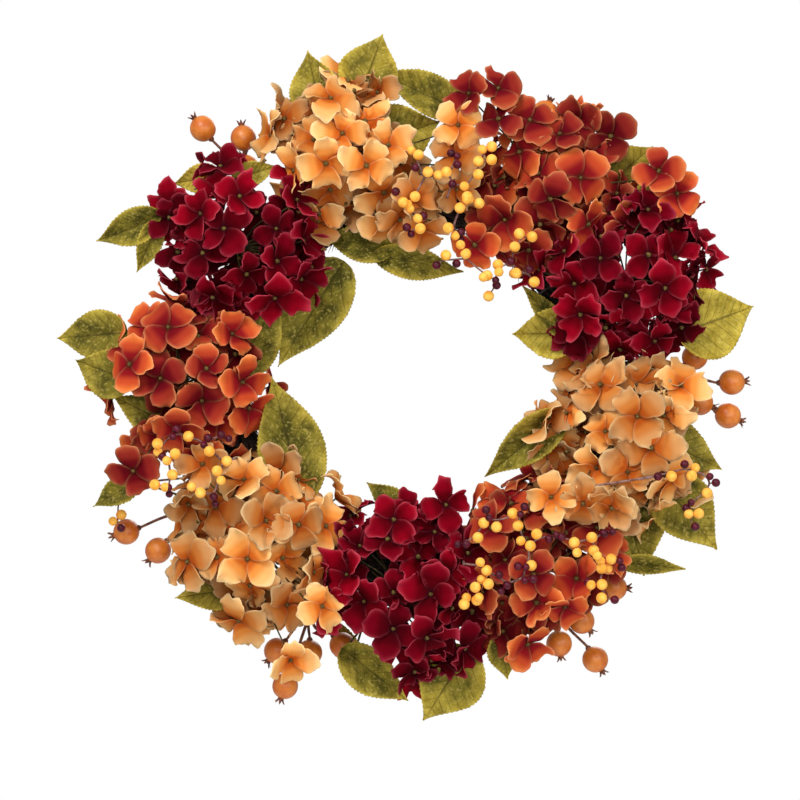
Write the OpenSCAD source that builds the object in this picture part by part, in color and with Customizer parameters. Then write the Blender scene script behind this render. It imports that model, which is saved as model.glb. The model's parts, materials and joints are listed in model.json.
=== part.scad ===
// Harvest door wreath: nine hydrangea heads with leaves, rose hips and berry
// sprays, wired to a ring of dark vines. The origin is the centre of the
// hanger ring, from which the wreath hangs, +Z is up, +X is to the viewer's
// right and the wreath faces -Y. The pieces are drawn round the centre of the
// vine ring and then moved as one. "Clock" angles run clockwise from the top
// as the viewer sees it, and "depth" is the distance in front of the door.

/* [Vine ring] */
// Radius of the ring, to the middle of the vine bundle
ring_r = 163; // [162:0.5:164]
// Radius of one vine
vine_r = 8; // [7.5:0.1:8]
// Free space between neighbouring vines
vine_gap = 0.3; // [0.2:0.1:0.4]
// Depth of the middle of the vine bundle
ring_depth = 27; // [27:0.5:28]
// Radius of the iron wire that binds the vines and the stems
wire_r = 0.8; // [0.6:0.1:0.9]
// Number of wires that bind the vines to each other
binding_count = 8; // [4:1:8]

/* [Hydrangea heads] */
// Depth of the open rear edge of the heads
head_rear = 62; // [62:0.5:64]
// Depth of the middle of the round heads
head_centre = 42; // [40:0.5:43]
// Thickness of the layer of petals
petal_layer = 10; // [6:1:12]
// Free space between neighbouring heads
head_gap = 6; // [5:0.5:8]
// Radius of the stem of a head
stem_r = 2.2; // [1.8:0.1:2.2]
// Radius of the thin stalks inside a head
stalk_r = 0.9; // [0.7:0.1:1.2]
// Number of thin stalks round the middle one
stalk_count = 6; // [4:1:8]

/* [Leaves] */
// Thickness of a leaf with its wire
leaf_t = 1.2; // [0.8:0.1:1.4]
// Radius of a leaf stalk
petiole_r = 1.1; // [0.9:0.1:1.2]
// Points along one side of a leaf
leaf_points = 9; // [6:1:14]

/* [Rose hips] */
// Diameter of a rose hip
hip_d = 23; // [20:0.5:23]
// Radius of the wire stalks of the hips
hip_stalk_r = 1.4; // [1.1:0.1:1.5]
// Distance from the ring centre to the fork of a hip spray
fork_r = 222; // [215:1:226]
// Height of the crown at the end of a hip
crown_h = 5; // [3:0.5:6]

/* [Berries] */
// Diameter of a yellow berry
yellow_d = 9.5; // [8.5:0.1:9.5]
// Diameter of a burgundy berry
burgundy_d = 7.5; // [6.5:0.1:7.5]
// Radius of the knots where the wires of a spray fork
knot_r = 2.6; // [2.5:0.1:2.8]
// Height of the knots
knot_h = 5; // [4:0.5:6]
// Radius of the main wire of a berry spray
berry_stem_r = 1.2; // [0.9:0.1:1.2]
// Radius of the side wires of a berry spray
twig_r = 0.7; // [0.5:0.1:0.8]
// Distance from one berry of a twig to the next, along the twig
berry_step = 8.6; // [8.2:0.1:9]
// Distance of the berries to either side of their twig
berry_side = 3.8; // [3.4:0.1:4]

/* [Hanger] */
// Inside radius of the hanger ring, which goes over the door hook
hanger_in_r = 12; // [11:0.5:13]
// Width of the metal of the hanger ring
hanger_width = 2.5; // [2:0.1:2.5]
// Thickness of the hanger ring
hanger_t = 2.5; // [2:0.1:2.5]
// Radius of the wire bar that the hanger ring swings on
bar_r = 0.9; // [0.8:0.1:1]
// Free space round that bar in the barrel of the hanger ring
bar_play = 0.1; // [0.05:0.05:0.1]
// Length of the barrel
barrel_l = 6; // [5:0.5:7]

/* [Hidden] */
$fn = 48;

VINE_COLOUR = "#2a1d17";
WIRE_COLOUR = "#3b3a38";
HANGER_COLOUR = "#8c8a84";
STEM_COLOUR = "#5c5a2c";
LEAF_COLOUR = "#85762e";
HIP_COLOUR = "#cc7a2f";
HIP_STEM_COLOUR = "#5b3527";
BERRY_STEM_COLOUR = "#7a5a52";
YELLOW_COLOUR = "#f5bd55";
BURGUNDY_COLOUR = "#4a1224";
GOLD = "#e0a255";
RUST = "#b0482a";
BURGUNDY = "#7d0a1c";

// Layer of a leaf that lies behind the rose hips
REAR = -1;

// Each head: name, clock, distance from the ring centre, radius, petal colour
HEADS = [
    ["gold_top",             345, 203, 82, GOLD],
    ["rust_top_right",        38, 215, 80, RUST],
    ["burgundy_right",        64, 210, 84, BURGUNDY],
    ["gold_right",           105, 194, 84, GOLD],
    ["rust_bottom_right",    144, 200, 84, RUST],
    ["burgundy_bottom",      182, 186, 84, BURGUNDY],
    ["gold_bottom_left",     223, 195, 84, GOLD],
    ["rust_left",            269, 197, 82, RUST],
    ["burgundy_top_left",    309, 188, 84, BURGUNDY]
];

// The leaves of each head, in the order of HEADS. Each leaf: clock and radius
// of its root, heading from straight outward, length, width and layer
LEAVES = [
    [[342, 240, 5, 62, 42, 1], [350, 250, 30, 60, 48, 3], [12, 240, -75, 84, 30, 0],
     [351, 210, 80, 62, 50, 4], [345, 115, 115, 80, 24, 2], [353, 115, -70, 62, 26, 4]],
    [[45, 230, 5, 66, 54, 1], [56, 255, -35, 54, 36, 3]],
    [[80, 240, -10, 70, 58, 1], [74, 155, -165, 56, 40, 2], [75, 145, -115, 60, 16, 4]],
    [[101, 140, 130, 88, 30, 3], [101, 200, 15, 88, 44, 2], [111, 235, 30, 78, 50, 4],
     [115, 205, 50, 84, 54, 0]],
    [[131, 240, -35, 60, 14, 4], [160, 235, 10, 40, 24, 1]],
    [[167, 240, 45, 74, 54, 1], [194, 240, -65, 72, 32, 4], [178, 120, 130, 50, 24, 2],
     [191, 255, 145, 42, 22, REAR]],
    [[218, 230, 45, 62, 30, 1], [250, 250, -10, 46, 22, 3], [221, 140, 125, 110, 54, 2]],
    [[280, 250, -15, 60, 40, 0], [270, 240, 20, 54, 40, 3], [257, 200, 40, 70, 34, 1],
     [271, 155, 120, 84, 44, 4]],
    [[304, 260, -55, 60, 26, 1], [303, 260, -100, 48, 18, 3], [318, 250, -60, 42, 24, REAR],
     [332, 120, -120, 106, 52, 0], [319, 235, 115, 40, 20, 4]]
];

// Each spray of hips: name, clock of its root, [clock, radius] of each hip
HIP_SPRAYS = [
    ["hips_top_left",     321, [[321, 289], [326, 262], [315, 246], [323, 238]]],
    ["hips_top",           28, [[27, 268], [32, 244]]],
    ["hips_right",         91, [[85, 256], [90, 288], [94, 260], [96, 286]]],
    ["hips_bottom_right", 145, [[150, 268], [144, 262], [146, 297], [135, 258]]],
    ["hips_bottom_left",  203, [[206, 266], [200, 256], [202, 291], [194, 241]]],
    ["hips_left",         239, [[242, 284], [236, 268]]]
];

// Each spray of berries: name, clock, radius and depth of its root, depth of
// the spray, its forks as [clock, radius], and its twigs as [fork, heading,
// length, letters], where the letters y and b are the berries in their order
BERRY_SPRAYS = [
    ["berries_top", 12, 163, 48.5, 122, [[11, 151], [33, 128]],
     [[0, 42, 68, "yyyy"], [0, 14, 48, "bybb"], [0, -28, 50, "yby"], [0, -75, 42, "yyb"],
      [0, 75, 32, "yyy"], [0, -125, 34, "byb"], [0, 150, 26, "yb"],
      [1, 60, 40, "yyy"], [1, 115, 44, "ybyby"], [1, 175, 34, "yby"], [1, -95, 46, "ybyb"]]],
    ["berries_bottom_right", 163, 163, 48.5, 133, [[150, 166], [137, 214]],
     [[0, -32, 38, "yyb"], [0, 18, 40, "yyb"], [0, 70, 38, "yyb"], [0, -75, 34, "yb"],
      [0, 130, 34, "byb"], [0, 185, 30, "bb"], [0, -146, 58, "yyyyy"],
      [1, -25, 28, "yb"], [1, 32, 34, "yyb"], [1, 88, 36, "yyb"], [1, 140, 42, "byyb"]]],
    ["berries_right", 125, 163, 48.5, 133, [[112, 254]],
     [[0, -50, 26, "yb"], [0, 10, 24, "yb"], [0, 80, 28, "yb"], [0, 155, 30, "byb"]]],
    ["berries_left", 246, 163, 48.5, 133, [[248, 199]],
     [[0, -60, 36, "yby"], [0, -15, 36, "yb"], [0, 35, 38, "ybb"], [0, 85, 30, "yy"],
      [0, 150, 30, "yb"], [0, -120, 34, "yby"]]],
    ["berries_far_left", 246, 182, 44, 44, [[246, 262]],
     [[0, -75, 22, "by"], [0, -140, 26, "yb"], [0, -20, 20, "b"]]]
];

head_count = len(HEADS);
bundle_r = vine_r * 3 + vine_gap;
vine_pitch = vine_r * 2 + vine_gap;
// Depth at which a stem lies in the groove between the two front vines
groove_rise = 7;
groove_depth = ring_depth + vine_pitch * sin(60) + groove_rise;
// Radius of a wire bound round the vines, with a little slack
wire_slack = 0.3;
wire_ring_r = bundle_r + wire_r + wire_slack;
// Clock of the first binding wire
first_binding = 5;
// Arc of a head's stem that is tied down in the groove, in degrees of clock
tied_from = -13;
tied_to = -3;
hub_depth = 80;
hub_r = 5;
// Depths of the leaves: the rear layer, the first front layer and the step
rear_leaf_depth = 10;
first_leaf_depth = 55.2;
leaf_step = 1.4;
// Length of a leaf stalk that runs on under its leaf
petiole_overlap = 4;
// Space between the vines and what stands beside them
leaf_stalk_clear = 0.6;
hip_stalk_clear = 0.5;
// Tilt of the stalks round the middle one, and how far they reach into the petals
stalk_tilt = 40;
stalk_sunk = 3;
// Bulge of the joint where a head's stem leaves the vines
foot_bulge = 0.2;
outer_r = ring_r + bundle_r;
sector_reach = 400;
head_limit = 150;
hip_depth = ring_depth;
// How far a hip sits on its stalk and on its crown, and the crown's radii
hip_on_stalk = 2;
hip_on_crown = 1;
crown_foot_r = 2.2;
crown_top_r = 4.2;
// How much thinner the stalk of one hip is than the stem of its spray
hip_stalk_taper = 0.2;
// How far a spoke's end lies inside the flat sides of its knot
spoke_sunk = 0.6;
// Height and depth of the bar, and of the two wires that hold its ends
bar_depth = 5;
bar_inset = 3.6;
bar_z = outer_r - bar_inset;
bar_end = 1;
post_space = 1.6;
post_x = barrel_l / 2 + post_space;
post_r = 0.6;
band_angle = 45;
band_reach = ring_r + wire_ring_r * sin(band_angle);
band_depth = ring_depth - wire_ring_r * cos(band_angle);
// Barrel of the hanger ring, and the rise from the bar to the ring's centre
barrel_bore_r = bar_r + bar_play;
barrel_wall = 1.1;
barrel_r = barrel_bore_r + barrel_wall;
disc_clear = 0.4;
hanger_rise = barrel_bore_r + disc_clear + hanger_width + hanger_in_r;
// Length by which a hole's cylinder is longer than the metal it cuts
cut_extra = 2;
hang_point = [0, -bar_depth, bar_z + hanger_rise];

// Point at a clock angle, distance from the ring centre and depth
function at(clock, radius, depth) = [radius * sin(clock), -depth, radius * cos(clock)];
function unit(v) = v / norm(v);
function clock_mid(a, b) = (a + b + (b < a ? 360 : 0)) / 2;
function before(i) = clock_mid(HEADS[(i + head_count - 1) % head_count][1], HEADS[i][1]);
function after(i) = clock_mid(HEADS[i][1], HEADS[(i + 1) % head_count][1]);

// Straight round rod between two points
module rod(a, b, r) {
    d = b - a;
    translate(a)
        rotate([0, acos(d.z / norm(d)), atan2(d.y, d.x)])
            cylinder(h = norm(d), r = r);
}

module ball(p, r) {
    translate(p) sphere(r);
}

// Eight-sided knot from which the wires of a spray fork
module knot(p) {
    translate(p) rotate([90, 22, 0]) cylinder(h = knot_h, r = knot_r, center = true, $fn = 8);
}

// Rod that starts inside a knot at a, clear of the knot's middle
module spoke(a, b, r) {
    rod(a + unit(b - a) * (knot_r - spoke_sunk - r / 4), b, r);
}

// Round bar bent to a circle round the middle of the wreath
module hoop(radius, depth, r, from = 0, sweep = 360) {
    translate([0, -depth, 0])
        rotate([90, 0, 0])
            rotate_extrude(angle = sweep, start = 90 - from - sweep, $fn = 128)
                translate([radius, 0]) circle(r, $fn = 24);
}

// Closed wire round the vine bundle at a clock angle
module wire_round_bundle(clock) {
    translate(at(clock, ring_r, ring_depth))
        rotate([0, clock, 0]) rotate([0, 90, 0])
            rotate_extrude($fn = 64)
                translate([wire_ring_r, 0]) circle(wire_r, $fn = 16);
}

// ---- Vine ring ----

module base_vines() {
    color(VINE_COLOUR) {
        hoop(ring_r, ring_depth, vine_r);
        for (a = [0:60:300])
            hoop(ring_r + vine_pitch * cos(a), ring_depth + vine_pitch * sin(a), vine_r);
    }
}

module base_binding_wires() {
    color(WIRE_COLOUR)
        for (k = [0:binding_count - 1]) wire_round_bundle(first_binding + k * 360 / binding_count);
}

module stem_tie_wires() {
    color(WIRE_COLOUR)
        for (head = HEADS) wire_round_bundle(head[1] + (tied_from + tied_to) / 2);
}

// ---- Hydrangea heads ----

// Sector between the middles of the gaps to the two neighbouring heads
module head_sector(i) {
    half = (after(i) - before(i) + (after(i) < before(i) ? 360 : 0)) / 2;
    middle = before(i) + half;
    apex = head_gap / 2 / sin(half);
    translate([0, -head_rear, 0])
        rotate([90, 0, 0])
            linear_extrude(head_limit - head_rear)
                translate(apex * [sin(middle), cos(middle)])
                    polygon([
                        [0, 0],
                        sector_reach * [sin(middle - half), cos(middle - half)],
                        sector_reach * [sin(middle + half), cos(middle + half)]
                    ]);
}

module head_petals(i) {
    head = HEADS[i];
    color(head[4])
        intersection() {
            translate(at(head[1], head[2], head_centre))
                difference() {
                    sphere(head[3], $fn = 96);
                    sphere(head[3] - petal_layer, $fn = 96);
                }
            head_sector(i);
        }
}

function stem_foot(i) = at(HEADS[i][1] + tied_to, ring_r, groove_depth);
function stem_hub(i) = at(HEADS[i][1], HEADS[i][2], hub_depth);

// Point on the stem of a head at a depth, where a leaf branches off
function branch_point(i, depth) =
    stem_foot(i) + (depth - groove_depth) / (hub_depth - groove_depth) * (stem_hub(i) - stem_foot(i));

// Length of a stalk from the hub to just inside the layer of petals
function stalk_length(i, tilt) =
    let (lift = hub_depth - head_centre, reach = HEADS[i][3] - petal_layer + stalk_sunk)
    sqrt(reach * reach - pow(lift * sin(tilt), 2)) - lift * cos(tilt);

module head_stem(i) {
    head = HEADS[i];
    color(STEM_COLOUR) {
        hoop(ring_r, groove_depth, stem_r, head[1] + tied_from, tied_to - tied_from);
        ball(stem_foot(i), stem_r + foot_bulge);
        rod(stem_foot(i), stem_hub(i), stem_r);
        ball(stem_hub(i), hub_r);
        translate(stem_hub(i))
            rotate([90, 0, 0]) {
                cylinder(h = stalk_length(i, 0), r = stalk_r);
                for (k = [0:stalk_count - 1])
                    rotate([0, 0, k * 360 / stalk_count])
                        rotate([0, stalk_tilt, 0])
                            cylinder(h = stalk_length(i, stalk_tilt), r = stalk_r);
            }
    }
}

// ---- Leaves ----

// Half width of a leaf at a share t of its length: round at the root and
// drawn out to a point at the tip
function leaf_half(t, width) = width / 2 * pow(sin(180 * pow(t, 0.8)), 0.75);

module leaf_blade(length, width) {
    steps = [for (k = [1:leaf_points]) k / (leaf_points + 1)];
    right = [for (t = steps) [leaf_half(t, width), t * length]];
    left = [for (k = [leaf_points - 1:-1:0]) [-right[k].x, right[k].y]];
    translate([0, leaf_t / 2, 0])
        rotate([90, 0, 0])
            linear_extrude(leaf_t)
                polygon(concat([[0, 0]], right, [[0, length]], left));
}

function leaf_depth(layer) =
    layer == REAR ? rear_leaf_depth : first_leaf_depth + layer * leaf_step;

// A leaf in a front layer branches off its head's stem, and one in the rear
// layer is tucked in beside the vines
module leaf(i, spec) {
    depth = leaf_depth(spec[5]);
    root = at(spec[0], spec[1], depth);
    inset = at(spec[0] + spec[2], petiole_overlap, 0);
    rear_start = at(spec[0], outer_r + petiole_r + leaf_stalk_clear, depth);
    start = spec[5] == REAR ? rear_start : branch_point(i, depth);
    rod(start, root + inset, petiole_r);
    translate(root)
        rotate([0, spec[0] + spec[2], 0]) leaf_blade(spec[3], spec[4]);
}

module head_leaves(i) {
    color(LEAF_COLOUR)
        for (spec = LEAVES[i]) leaf(i, spec);
}

// ---- Rose hips ----

function hip_root(spray) = at(spray[1], outer_r + hip_stalk_clear, hip_depth);
function hip_fork(spray) = at(spray[1], fork_r, hip_depth);
function hip_at(h) = at(h[0], h[1], hip_depth);

module hip_stems(spray) {
    color(HIP_STEM_COLOUR) {
        rod(hip_root(spray), hip_fork(spray), hip_stalk_r);
        knot(hip_fork(spray));
        for (h = spray[2]) {
            away = unit(hip_at(h) - hip_fork(spray));
            spoke(hip_fork(spray), hip_at(h) - away * (hip_d / 2 - hip_on_stalk), hip_stalk_r - hip_stalk_taper);
            translate(hip_at(h) + away * (hip_d / 2 - hip_on_crown))
                rotate([0, atan2(away.x, away.z), 0])
                    cylinder(h = crown_h, r1 = crown_foot_r, r2 = crown_top_r);
        }
    }
}

module hip_fruit(spray) {
    color(HIP_COLOUR)
        for (h = spray[2]) ball(hip_at(h), hip_d / 2);
}

// ---- Berries ----

function berry_root(spray) = at(spray[1], spray[2], spray[3]);
// A spray in front of the heads first runs straight forward between them
function berry_turns(spray) = spray[3] == spray[4] ? [] : [at(spray[1], spray[2], spray[4])];
function berry_fork(spray, k) = at(spray[5][k][0], spray[5][k][1], spray[4]);
function twig_dir(twig) = [sin(twig[1]), 0, cos(twig[1])];
function twig_side(twig) = [cos(twig[1]), 0, -sin(twig[1])];

// The berries sit on alternate sides of their twig, evenly back from its end
function berry_centre(spray, twig, k) =
    berry_fork(spray, twig[0])
    + twig_dir(twig) * (twig[2] - (len(twig[3]) - 1 - k) * berry_step)
    + twig_side(twig) * berry_side * (k % 2 == 0 ? 1 : -1);

module berry_stems(spray) {
    points = concat(
        [berry_root(spray)],
        berry_turns(spray),
        [for (k = [0:len(spray[5]) - 1]) berry_fork(spray, k)]
    );
    color(BERRY_STEM_COLOUR) {
        for (k = [0:len(points) - 2]) {
            spoke(points[k], points[k + 1], berry_stem_r);
            knot(points[k + 1]);
        }
        for (twig = spray[6]) {
            fork = berry_fork(spray, twig[0]);
            spoke(fork, fork + twig_dir(twig) * twig[2], twig_r);
        }
    }
}

module berries(spray, letter, diameter, colour) {
    color(colour)
        for (twig = spray[6], k = [0:len(twig[3]) - 1])
            if (twig[3][k] == letter) ball(berry_centre(spray, twig, k), diameter / 2);
}

// ---- Hanger ----

// A wire bar on two wires bound round the vines
module hanger_band() {
    clock = asin(post_x / band_reach);
    end_x = post_x + bar_end;
    color(WIRE_COLOUR) {
        rod([-end_x, -bar_depth, bar_z], [end_x, -bar_depth, bar_z], bar_r);
        for (side = [-1, 1]) {
            wire_round_bundle(side * clock);
            rod(at(side * clock, band_reach, band_depth), [side * post_x, -bar_depth, bar_z], post_r);
        }
    }
}

module hanger_disc(h, r) {
    translate([0, 0, hanger_rise]) rotate([90, 0, 0]) cylinder(h = h, r = r, center = true, $fn = 96);
}

module hanger_barrel(h, r) {
    rotate([0, 90, 0]) cylinder(h = h, r = r, center = true);
}

// A flat ring with a barrel at its foot that turns on the bar
module hanger_ring() {
    color(HANGER_COLOUR)
        translate([0, -bar_depth, bar_z])
            difference() {
                union() {
                    hanger_disc(hanger_t, hanger_in_r + hanger_width);
                    hanger_barrel(barrel_l, barrel_r);
                }
                hanger_disc(hanger_t + cut_extra, hanger_in_r);
                hanger_barrel(barrel_l + cut_extra, barrel_bore_r);
            }
}

// ---- Assembly ----

// Moves the centre of the hanger ring to the origin
module hung() {
    translate(-hang_point) children();
}

hung() base_vines();
hung() base_binding_wires();
hung() stem_tie_wires();
hung() hanger_band();
hung() hanger_ring();
for (i = [0:head_count - 1]) {
    hung() head_petals(i);
    hung() head_stem(i);
    hung() head_leaves(i);
}
for (spray = HIP_SPRAYS) {
    hung() hip_stems(spray);
    hung() hip_fruit(spray);
}
for (spray = BERRY_SPRAYS) {
    hung() berry_stems(spray);
    hung() berries(spray, "y", yellow_d, YELLOW_COLOUR);
    hung() berries(spray, "b", burgundy_d, BURGUNDY_COLOUR);
}
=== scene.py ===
import json
import math

import bpy
import numpy as np
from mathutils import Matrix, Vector
from numpy.linalg import norm


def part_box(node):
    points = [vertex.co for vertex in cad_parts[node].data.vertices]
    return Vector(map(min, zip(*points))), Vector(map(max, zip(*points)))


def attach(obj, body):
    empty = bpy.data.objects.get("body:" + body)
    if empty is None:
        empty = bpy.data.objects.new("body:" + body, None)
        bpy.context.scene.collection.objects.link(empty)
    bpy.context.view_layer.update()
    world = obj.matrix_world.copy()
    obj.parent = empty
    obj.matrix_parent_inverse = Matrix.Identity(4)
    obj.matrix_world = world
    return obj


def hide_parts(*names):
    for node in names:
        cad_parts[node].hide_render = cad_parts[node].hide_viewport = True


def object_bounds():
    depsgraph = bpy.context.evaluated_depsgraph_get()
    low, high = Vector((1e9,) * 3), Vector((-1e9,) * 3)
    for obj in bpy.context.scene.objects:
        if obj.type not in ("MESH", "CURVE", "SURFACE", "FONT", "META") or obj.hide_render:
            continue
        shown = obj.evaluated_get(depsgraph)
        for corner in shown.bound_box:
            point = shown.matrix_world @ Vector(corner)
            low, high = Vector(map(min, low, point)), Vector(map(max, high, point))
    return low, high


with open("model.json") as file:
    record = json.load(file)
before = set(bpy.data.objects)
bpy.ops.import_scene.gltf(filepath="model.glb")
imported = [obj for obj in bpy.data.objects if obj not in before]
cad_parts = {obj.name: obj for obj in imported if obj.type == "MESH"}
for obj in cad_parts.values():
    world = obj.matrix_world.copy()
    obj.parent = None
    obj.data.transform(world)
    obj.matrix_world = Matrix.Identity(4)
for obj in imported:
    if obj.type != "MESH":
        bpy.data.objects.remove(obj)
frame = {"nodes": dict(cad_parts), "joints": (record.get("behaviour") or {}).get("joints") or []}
cad_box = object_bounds()
rng = np.random.default_rng(24)
MM = 0.001

# Everything below is worked out round the centre of the vine ring, on the plane of the door
VINE_BOX = np.array([list(corner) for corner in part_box("base_vines")])
HOME = np.array([VINE_BOX[:, 0].mean(), list(cad_box[1])[1], VINE_BOX[:, 2].mean()]) / MM


# ---- mesh tools

def new_object(name, data):
    made = bpy.data.objects.new(name, data)
    bpy.context.scene.collection.objects.link(made)
    return made


class Shape:
    """Points, faces and one colour value per point, gathered into one mesh."""

    def __init__(self):
        self.points = []
        self.faces = []
        self.smooth = []
        self.marks = []
        self.count = 0

    def add(self, points, faces, marks=(0, 0, 0, 1), flat=0):
        """marks is four numbers a point, which petals and leaves need. The last faces may be flat ones."""
        points = np.asarray(points, float).reshape(-1, 3)
        marks = np.broadcast_to(np.asarray(marks, float), (len(points), 4))
        self.points.append(points)
        self.marks.append(marks)
        self.faces.extend([[i + self.count for i in face] for face in faces])
        self.smooth.extend([True] * (len(faces) - flat) + [False] * flat)
        self.count += len(points)

    def build(self, name, material, body, replaces=None, slot=None):
        """Makes the piece. It rides on a body, in place of a CAD node. The slot is worked out but not used.
        """
        # Blender adds a number to the name of a material that the CAD has too
        slot = slot or material.name.split(".")[0]
        mesh = bpy.data.meshes.new(name)
        points = (np.concatenate(self.points) + HOME) * MM
        mesh.from_pydata(points.tolist(), [], self.faces)
        layer = mesh.attributes.new("mark", "FLOAT_COLOR", "POINT")
        layer.data.foreach_set("color", np.concatenate(self.marks).ravel().astype(np.float32))
        mesh.polygons.foreach_set("use_smooth", self.smooth)
        mesh.materials.append(material)
        mesh.update()
        piece = new_object(name, mesh)
        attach(piece, body)
        if replaces:
            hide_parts(replaces)


def unit(v):
    v = np.asarray(v, float)
    return v / max(norm(v), 1e-9)


def across_to(direction):
    """Two unit vectors square to a direction."""
    d = unit(direction)
    helper = np.array([0.0, 0.0, 1.0]) if abs(d[2]) < 0.9 else np.array([1.0, 0.0, 0.0])
    a = unit(np.cross(helper, d))
    return a, np.cross(d, a)


def grid_sheet(grid, thickness):
    """Closed thin sheet round a grid of points: front, back and rim, with the number of rim faces."""
    rows, columns = grid.shape[:2]
    along = np.gradient(grid, axis=0)
    across = np.gradient(grid, axis=1)
    normal = np.cross(across, along)
    size = norm(normal, axis=2, keepdims=True)
    normal = normal / np.maximum(size, 1e-9)
    front = (grid + normal * thickness / 2).reshape(-1, 3)
    back = (grid - normal * thickness / 2).reshape(-1, 3)
    n = rows * columns
    faces = []
    for i in range(rows - 1):
        for j in range(columns - 1):
            a = i * columns + j
            quad = [a, a + columns, a + columns + 1, a + 1]
            faces.append(quad[::-1])
            faces.append([k + n for k in quad])
    rim = [j for j in range(columns)]
    rim += [i * columns + columns - 1 for i in range(1, rows)]
    rim += [(rows - 1) * columns + j for j in range(columns - 2, -1, -1)]
    rim += [i * columns for i in range(rows - 2, 0, -1)]
    for k, a in enumerate(rim):
        b = rim[(k + 1) % len(rim)]
        faces.append([a, b, b + n, a + n][::-1])
    return np.concatenate([front, back]), faces, len(rim)


def sheet_marks(*values):
    """The four numbers for each point of a sheet, the same on its front and its back."""
    grid = np.stack(np.broadcast_arrays(*values), axis=2).reshape(-1, 4)
    return np.tile(grid, (2, 1))


def smooth_path(points, steps):
    """Catmull-Rom curve through the points."""
    p = np.asarray(points, float)
    p = np.vstack([2 * p[0] - p[1], p, 2 * p[-1] - p[-2]])
    curve = []
    for k in range(1, len(p) - 2):
        for t in np.linspace(0, 1, steps, endpoint=False):
            a, b, c, d = p[k - 1], p[k], p[k + 1], p[k + 2]
            curve.append(0.5 * (2 * b + (c - a) * t + (2 * a - 5 * b + 4 * c - d) * t ** 2
                                + (3 * b - a - 3 * c + d) * t ** 3))
    curve.append(p[-2])
    return np.array(curve)


def tube(shape, path, radii, sides, closed=False):
    """Round wire along a path, with a radius per point. Ends are capped."""
    path = np.asarray(path, float)
    count = len(path)
    radii = np.broadcast_to(np.asarray(radii, float), (count,))
    if closed:
        tangent = np.roll(path, -1, axis=0) - np.roll(path, 1, axis=0)
    else:
        tangent = np.gradient(path, axis=0)
    tangent = tangent / norm(tangent, axis=1, keepdims=True)
    side, _ = across_to(tangent[0])
    rings = []
    turn = np.arange(sides) * 2 * math.pi / sides
    for k in range(count):
        side = unit(side - tangent[k] * np.dot(side, tangent[k]))
        up = np.cross(tangent[k], side)
        rings.append(path[k] + radii[k] * (np.outer(np.cos(turn), side) + np.outer(np.sin(turn), up)))
    faces = []
    last = count if closed else count - 1
    for k in range(last):
        for s in range(sides):
            a, b = k * sides + s, k * sides + (s + 1) % sides
            c = (k + 1) % count * sides + (s + 1) % sides
            d = (k + 1) % count * sides + s
            faces.append([a, b, c, d])
    if not closed:
        faces.append(list(range(sides))[::-1])
        faces.append([(count - 1) * sides + s for s in range(sides)])
    shape.add(np.concatenate(rings), faces)


def lathe(shape, centre, axis, profile, sides, wobble=0.0):
    """Closed round body: profile is (distance along the axis, radius), end points on the axis."""
    a, b = across_to(axis)
    d = unit(axis)
    turn = np.arange(sides) * 2 * math.pi / sides
    points = [centre + d * profile[0][0]]
    inner = profile[1:-1]
    for k, (along, radius) in enumerate(inner):
        r = radius * (1 + wobble * np.sin(3 * turn + k))
        points.extend(centre + d * along + np.outer(r * np.cos(turn), a) + np.outer(r * np.sin(turn), b))
    points.append(centre + d * profile[-1][0])
    faces = []
    for s in range(sides):
        faces.append([0, 1 + (s + 1) % sides, 1 + s])
    for k in range(len(inner) - 1):
        for s in range(sides):
            p, q = 1 + k * sides + s, 1 + k * sides + (s + 1) % sides
            faces.append([p, q, q + sides, p + sides])
    end = len(points) - 1
    base = 1 + (len(inner) - 1) * sides
    for s in range(sides):
        faces.append([base + s, base + (s + 1) % sides, end])
    shape.add(points, faces)


# ---- reading the frame

def node_points(name):
    """A CAD node's vertices in millimetres, and its triangles, with equal points merged."""
    mesh = frame["nodes"][name].data
    points = np.empty(len(mesh.vertices) * 3)
    mesh.vertices.foreach_get("co", points)
    points = points.reshape(-1, 3) / MM - HOME
    mesh.calc_loop_triangles()
    tris = np.empty(len(mesh.loop_triangles) * 3, int)
    mesh.loop_triangles.foreach_get("vertices", tris)
    _, first, merged = np.unique(np.round(points, 2), axis=0, return_index=True, return_inverse=True)
    return points[first], merged.reshape(-1)[tris].reshape(-1, 3)


def islands(tris):
    """Groups of triangles that share points."""
    label = np.arange(tris.max() + 1)
    lower = label.copy()
    while True:
        np.minimum.at(lower, tris.ravel(), np.repeat(lower[tris].min(axis=1), 3))
        if (lower == label).all():
            break
        label = lower.copy()
    owner = label[tris[:, 0]]
    _, first = np.unique(owner, return_index=True)
    return [tris[owner == owner[k]] for k in np.sort(first)]


def solids(name):
    """Centre and size of each loose solid in a node."""
    points, tris = node_points(name)
    found = []
    for group in islands(tris):
        p = points[np.unique(group)]
        found.append(((p.max(0) + p.min(0)) / 2, p.max(0) - p.min(0)))
    return found


def face_normals(points, tris):
    """Normal and area of each triangle."""
    a, b, c = points[tris[:, 0]], points[tris[:, 1]], points[tris[:, 2]]
    n = np.cross(b - a, c - a)
    size = norm(n, axis=1, keepdims=True)
    return n / np.maximum(size, 1e-9), size[:, 0] / 2


# Triangles of a head's front have normals with a depth part below this
FACES_VIEWER = -0.3
# A leaf blade's triangles lie flat on to the viewer, and its smaller flat parts aren't blades (mm2)
LIES_FLAT = -0.999
LEAST_BLADE = 150


def fit_dome(name):
    """Centre and radius of the sphere that best fits the outside of a head's layer of petals."""
    points, tris = node_points(name)
    normal, _ = face_normals(points, tris)
    outer = points[np.unique(tris[normal[:, 1] < FACES_VIEWER])]
    a = np.hstack([2 * outer, np.ones((len(outer), 1))])
    x, *_ = np.linalg.lstsq(a, (outer ** 2).sum(1), rcond=None)
    centre = x[:3]
    return centre, math.sqrt(x[3] + centre @ centre)


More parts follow.
